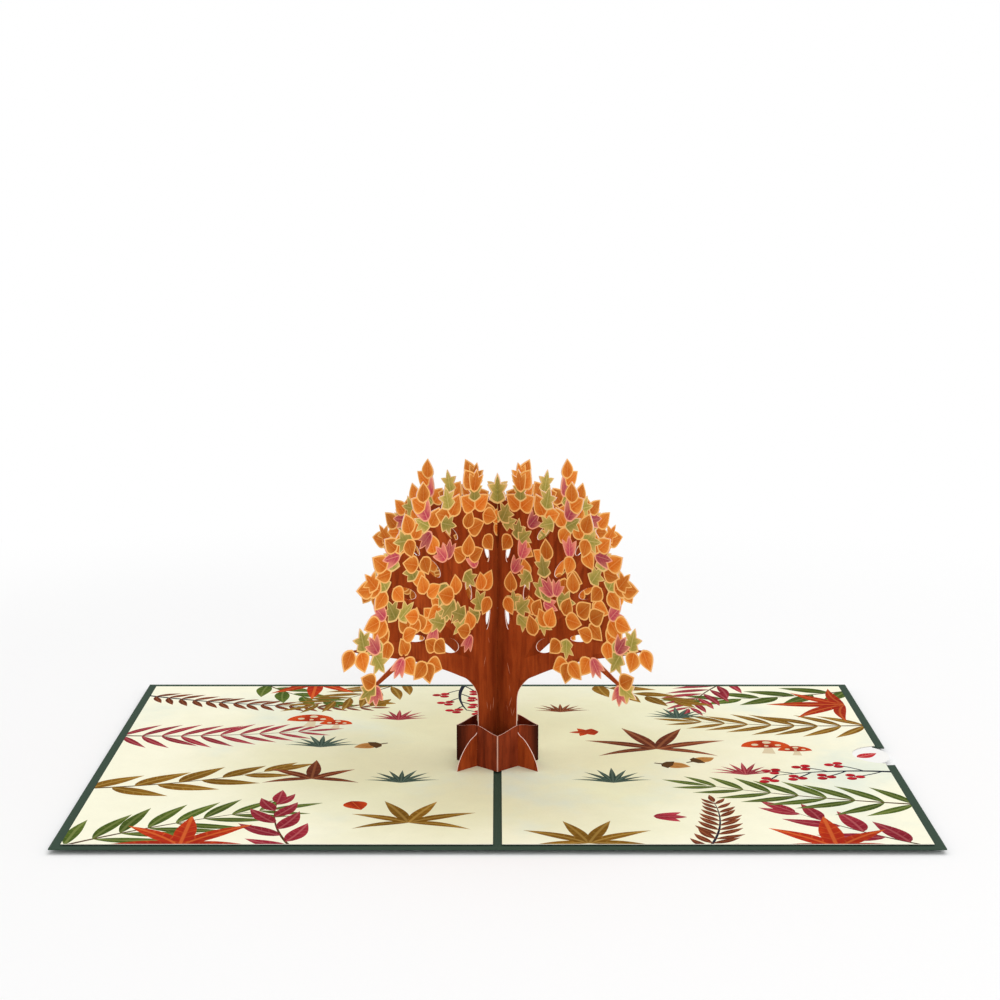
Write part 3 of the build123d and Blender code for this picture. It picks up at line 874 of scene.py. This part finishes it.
def berries(sheet, draw, base, turn, length):
    """A dark forked twig with round berries."""
    line = bend_line(base, turn, length, 34)
    sheet.ink(stroke(tapered(line, 0.9, 0.75), 2), LINER_INK["vine"])
    for i in range(7):
        x, y, way = along_line(line, 0.22 + 0.13 * i)
        side = bend_line((x, y), way + 46 * (-1) ** i, length * (0.26 - 0.02 * i), -20 * (-1) ** i, 5)
        sheet.ink(stroke(tapered(side, 0.35, 0), 2), LINER_INK["vine"])
        a, b, _ = side[-1]
        for j in range(3):
            spot = (a + 1.9 * cos(2.1 * j + i), b + 1.9 * sin(2.1 * j + i))
            facts = ((spot[0] - 0.6, spot[1] + 0.5), 0, 3.4, draw.uniform(0.3, 0.8), 0)
            sheet.ink(round_spot(spot, BERRY), LINER_INK["berry"], facts)


def mushroom(sheet, draw, base, size):
    """A capped mushroom with pale spots."""
    x, y = base
    stalk = [(0, 0, 0.17), (0.04, 0.4, 0.11), (0, 0.72, 0.13)]
    stalk = [(x + size * a, y + size * b, size * half) for a, b, half in stalk]
    sheet.ink(stroke(stalk), LINER_INK["stalk"])
    turns = [pi * i / 16 for i in range(17)]
    cap = [(0.62 * cos(t), 0.58 + 0.58 * sin(t)) for t in turns] + [(-0.3, 0.50), (0.3, 0.50)]
    facts = ((x, y + size * 0.3), 90, size, draw.uniform(0.3, 0.6), 0)
    sheet.ink([(x + size * a, y + size * b) for a, b in cap], LINER_INK["orange"], facts)
    for a, b, radius in SPOTS:
        sheet.ink(round_spot((x + a * size, y + b * size), radius * size, 12), LINER_INK["stalk"])


def acorn(sheet, draw, base, size, turn):
    sheet.leaf(blade(0.62, 1.0), size, base, turn, LINER_INK["nut"], tint=draw.uniform(0.4, 0.7))
    rim = [0.38 * cos(pi * i / 10) for i in range(11)]
    cup = [(0.42 - 0.06 * abs(v) / 0.38, v) for v in rim] + [(0.12, -0.26), (0.02, 0), (0.12, 0.26)]
    stem = [(-0.2, 0.04), (0.06, 0.05), (0.06, -0.05), (-0.2, -0.04)]
    for part in (cup, stem):
        sheet.ink(turned([(u * size, v * size) for u, v in part], base, turn), LINER_INK["stem"])


def fallen(sheet, draw, ink, kind, place, size):
    shape = LEAF_SHAPES[kind][1]
    sheet.leaf(shape, size, place, draw.uniform(0, 360), LINER_INK[ink], tint=draw.uniform(0.3, 0.7))


def left_print(sheet, draw):
    spray(sheet, draw, "olive", (-128, -92), 40, 70, -18, 8, 26, 5.0)
    spray(sheet, draw, "ochre", (-132, -36), 4, 64, 26, 9, 23, 7.0, 46, False)
    spray(sheet, draw, "crimson", (-132, 22), -6, 68, 20, 10, 20, 3.6, 58)
    spray(sheet, draw, "russet", (-130, 74), -24, 88, 24, 16, 11, 3.0, 58, stem="vine")
    spray(sheet, draw, "olive", (-88, 94), -64, 42, 34, 8, 18, 6.2, 46, False)
    spray(sheet, draw, "ochre", (-32, 94), -122, 48, -22, 7, 21, 4.2, 56)
    spray(sheet, draw, "crimson", (-56, -94), 118, 46, -30, 8, 19, 6.4, 46, False)
    berries(sheet, draw, (-10, 94), -108, 42)
    rosette(sheet, draw, "orange", (-90, -88), 5, 27, 6.6, sweep=190)
    rosette(sheet, draw, "ochre", (-26, -68), 6, 23, 4.8, sweep=240)
    rosette(sheet, draw, "orange", (-66, 92), 5, 26, 6.0, -90, 170)
    rosette(sheet, draw, "russet", (-58, -26), 5, 19, 4.4, sweep=230)
    tufts = (((-58, 8), 15, "slate"), ((-34, 40), 13, "crimson"), ((-30, -30), 14, "slate"))
    for place, size, ink in tufts:
        tuft(sheet, draw, place, size, ink)
    mushroom(sheet, draw, (-64, 32), 13)
    mushroom(sheet, draw, (-55, 30), 9)
    acorn(sheet, draw, (-38, 12), 10, 205)
    fallen(sheet, draw, "ochre", "maple", (-44, 58), 11)
    fallen(sheet, draw, "orange", "oval", (-44, -48), 9)


def right_print(sheet, draw):
    spray(sheet, draw, "crimson", (128, -92), 150, 52, -20, 7, 22, 7.4, 46, False)
    spray(sheet, draw, "olive", (132, -52), 172, 70, -16, 8, 23, 4.6)
    spray(sheet, draw, "russet", (58, -94), 66, 46, 30, 11, 11, 3.0, 58, stem="vine")
    spray(sheet, draw, "ochre", (131, 34), 186, 64, -20, 8, 22, 4.4)
    spray(sheet, draw, "olive", (131, 80), 204, 62, -22, 9, 21, 6.8, 46, False)
    spray(sheet, draw, "crimson", (86, 94), -128, 44, 24, 7, 19, 3.8, 56)
    spray(sheet, draw, "ochre", (30, 94), -54, 46, 26, 8, 19, 6.6, 46, False)
    berries(sheet, draw, (131, -20), 166, 44)
    rosette(sheet, draw, "orange", (96, -90), 5, 26, 6.6, sweep=190)
    rosette(sheet, draw, "russet", (52, 6), 6, 27, 5.2, sweep=250)
    rosette(sheet, draw, "ochre", (26, -86), 6, 23, 4.8, sweep=210)
    rosette(sheet, draw, "orange", (122, 60), 5, 26, 6.0, 180, 170)
    tufts = (((36, -30), 15, "slate"), ((62, 42), 14, "slate"), ((78, -22), 13, "crimson"),
             ((22, 50), 12, "russet"))
    for place, size, ink in tufts:
        tuft(sheet, draw, place, size, ink)
    mushroom(sheet, draw, (88, 1), 13)
    mushroom(sheet, draw, (97, -1), 9)
    acorn(sheet, draw, (52, -10), 10, -20)
    acorn(sheet, draw, (62, -8), 9, 30)
    fallen(sheet, draw, "orange", "maple", (34, 26), 10)
    fallen(sheet, draw, "crimson", "three", (46, -62), 10)


def lie(node):
    """Places a flat sheet between the faces of a flat CAD node."""
    low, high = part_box(node)

    def place(u, v, front):
        return (MM * u, MM * v, high.z if front else low.z)

    return place


for node, seed, print_on in (("left_liner", 5, left_print), ("right_liner", 7, right_print)):
    outer, *slits = top_loops(node)
    liner = Sheet()
    liner.cut(outer, LINER_INK["liner"])
    print_on(liner, random.Random(seed))
    for slit in slits:
        liner.hole(slit)
    edge = LINER_INK["edge"]
    liner_piece = liner.mesh("printed_" + node, lie(node), LINER_INKS.values(), edge, edge)
    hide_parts(node)
    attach(liner_piece, "card")

# Note card, ruled for writing, with a small leaf on its pull tab
RULED_LINES = 11
RULED_APART = 6.8
RULED_HALF = 58.0          # half length of a ruled line
RULED_WIDTH = 0.3
RULED_MARGIN = 16.0        # from the note's inner edge to the first line
TAB_LEAF = 8.5             # length of the leaf on the tab
TAB_LEAF_ROOT = (116.0, -2.2)
TAB_LEAF_TURN = 26.0
NOTE_INKS = {
    "note": plain("note card", (247, 247, 244)),
    "line": plain("ruled line", (196, 190, 176)),
    "leaf": painted("tab leaf", (188, 28, 40), (206, 52, 58), (240, 160, 150), 0.7),
}
NOTE_INK = {name: i for i, name in enumerate(NOTE_INKS)}
note = Sheet()
note.cut(top_loops("note_card")[0], NOTE_INK["note"])
note_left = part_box("note_card")[0].x / MM
for i in range(RULED_LINES):
    x = note_left + RULED_MARGIN + RULED_APART * i
    right = x + RULED_WIDTH
    ruled = [(x, -RULED_HALF), (right, -RULED_HALF), (right, RULED_HALF), (x, RULED_HALF)]
    note.ink(ruled, NOTE_INK["line"])
note.leaf(blade(0.55, 0.8), TAB_LEAF, TAB_LEAF_ROOT, TAB_LEAF_TURN, NOTE_INK["leaf"], arch=0.12)
edge = NOTE_INK["note"]
note_piece = note.mesh("printed_note_card", lie("note_card"), NOTE_INKS.values(), edge, edge)
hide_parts("note_card")
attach(note_piece, "note")

# CAD nodes that keep their own solid
NODE_LOOKS = {
    "cover": plain("green cover stock", (58, 76, 63), roughness=0.75, grain=0.5),
    "left_tape": plain("tissue tape", (224, 222, 212)),
    "right_tape": bpy.data.materials["tissue tape"],
    "root_collar": paper("collar bark and painted shade", collar_paint),
}
for node, look in NODE_LOOKS.items():
    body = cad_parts[node].data
    body.materials.clear()
    body.materials.append(look)

# Stage
BACKDROP = 1.0             # brightness of the far floor and of what is behind it
SOFT_LIGHT = 0.72          # strength of the even light from all round
FLOOR_DROP = 0.0013        # the card's edges stand this far off the floor, as an unpressed card's do
FLOOR_SHADOW_REACH = 0.22  # the floor turns from lit to plain white from here outwards
FLOOR_TONE = 0.965
LAMP_AIM = Vector((0, 0, 0.04))
CAMERA_DOWN = 10.05        # degrees below level
WHITE = (1.0, 1.0, 1.0, 1.0)
bpy.ops.mesh.primitive_plane_add(size=8.0, location=(0, 0, -FLOOR_DROP))
floor = bpy.context.object
floor.name = "floor"
floor_look = bpy.data.materials.new("pale floor")
floor_look.use_nodes = True
floor_shader = next(n for n in floor_look.node_tree.nodes if n.type == "BSDF_PRINCIPLED")
floor_shader.inputs["Base Color"].default_value = (FLOOR_TONE, FLOOR_TONE, FLOOR_TONE, 1.0)
floor_shader.inputs["Roughness"].default_value = 0.9
floor_shader.inputs["Specular IOR Level"].default_value = 0.1
tree = floor_look.node_tree
seen = add(tree, "ShaderNodeLightPath").outputs["Is Camera Ray"]
away = vector(tree, "LENGTH", card_place(tree))
share = math(tree, "MULTIPLY", seen, step(tree, away, FLOOR_SHADOW_REACH, 2 * FLOOR_SHADOW_REACH))
white = add(tree, "ShaderNodeEmission", {"Color": WHITE, "Strength": BACKDROP})
mixed = add(tree, "ShaderNodeMixShader", {0: share, 1: floor_shader.outputs[0], 2: white.outputs[0]})
surface = next(n for n in tree.nodes if n.type == "OUTPUT_MATERIAL")
tree.links.new(mixed.outputs[0], surface.inputs["Surface"])
floor.data.materials.append(floor_look)

world = bpy.data.worlds.new("studio")
bpy.context.scene.world = world
world.use_nodes = True
tree = world.node_tree
tree.nodes.clear()
path = add(tree, "ShaderNodeLightPath").outputs
seen = path["Is Camera Ray"]
for ray in ("Is Glossy Ray", "Is Transmission Ray"):
    seen = math(tree, "MAXIMUM", seen, path[ray])
soft = add(tree, "ShaderNodeBackground", {"Color": WHITE, "Strength": SOFT_LIGHT})
bright = add(tree, "ShaderNodeBackground", {"Color": WHITE, "Strength": BACKDROP})
mixed = add(tree, "ShaderNodeMixShader", {0: seen, 1: soft.outputs[0], 2: bright.outputs[0]})
add(tree, "ShaderNodeOutputWorld", {"Surface": mixed.outputs[0]})


def lamp(name, place, size, watts):
    """A square soft lamp that points at the card's middle."""
    light = bpy.data.lights.new(name, "AREA")
    light.size = size
    light.energy = watts
    made = bpy.data.objects.new(name, light)
    made.location = place
    made.rotation_euler = (LAMP_AIM - Vector(place)).to_track_quat("-Z", "Y").to_euler()
    bpy.context.scene.collection.objects.link(made)


lamp("key", (0.3, 0.3, 1.5), 1.4, 7.0)
lamp("front", (0.35, -1.5, 0.55), 1.2, 7.0)

# Camera, fitted to the open card's corners in the photograph
camera = bpy.data.cameras.new("camera")
camera.lens = 75.96
camera.sensor_width = 36.0
camera.shift_x = 0.0025
camera.clip_start = 0.01
holder = bpy.data.objects.new("camera", camera)
holder.location = (0.0, -0.6586, 0.2014)
holder.rotation_euler = (radians(90 - CAMERA_DOWN), 0, 0)
bpy.context.scene.collection.objects.link(holder)
bpy.context.scene.camera = holder
bpy.context.scene.view_settings.view_transform = "Standard"
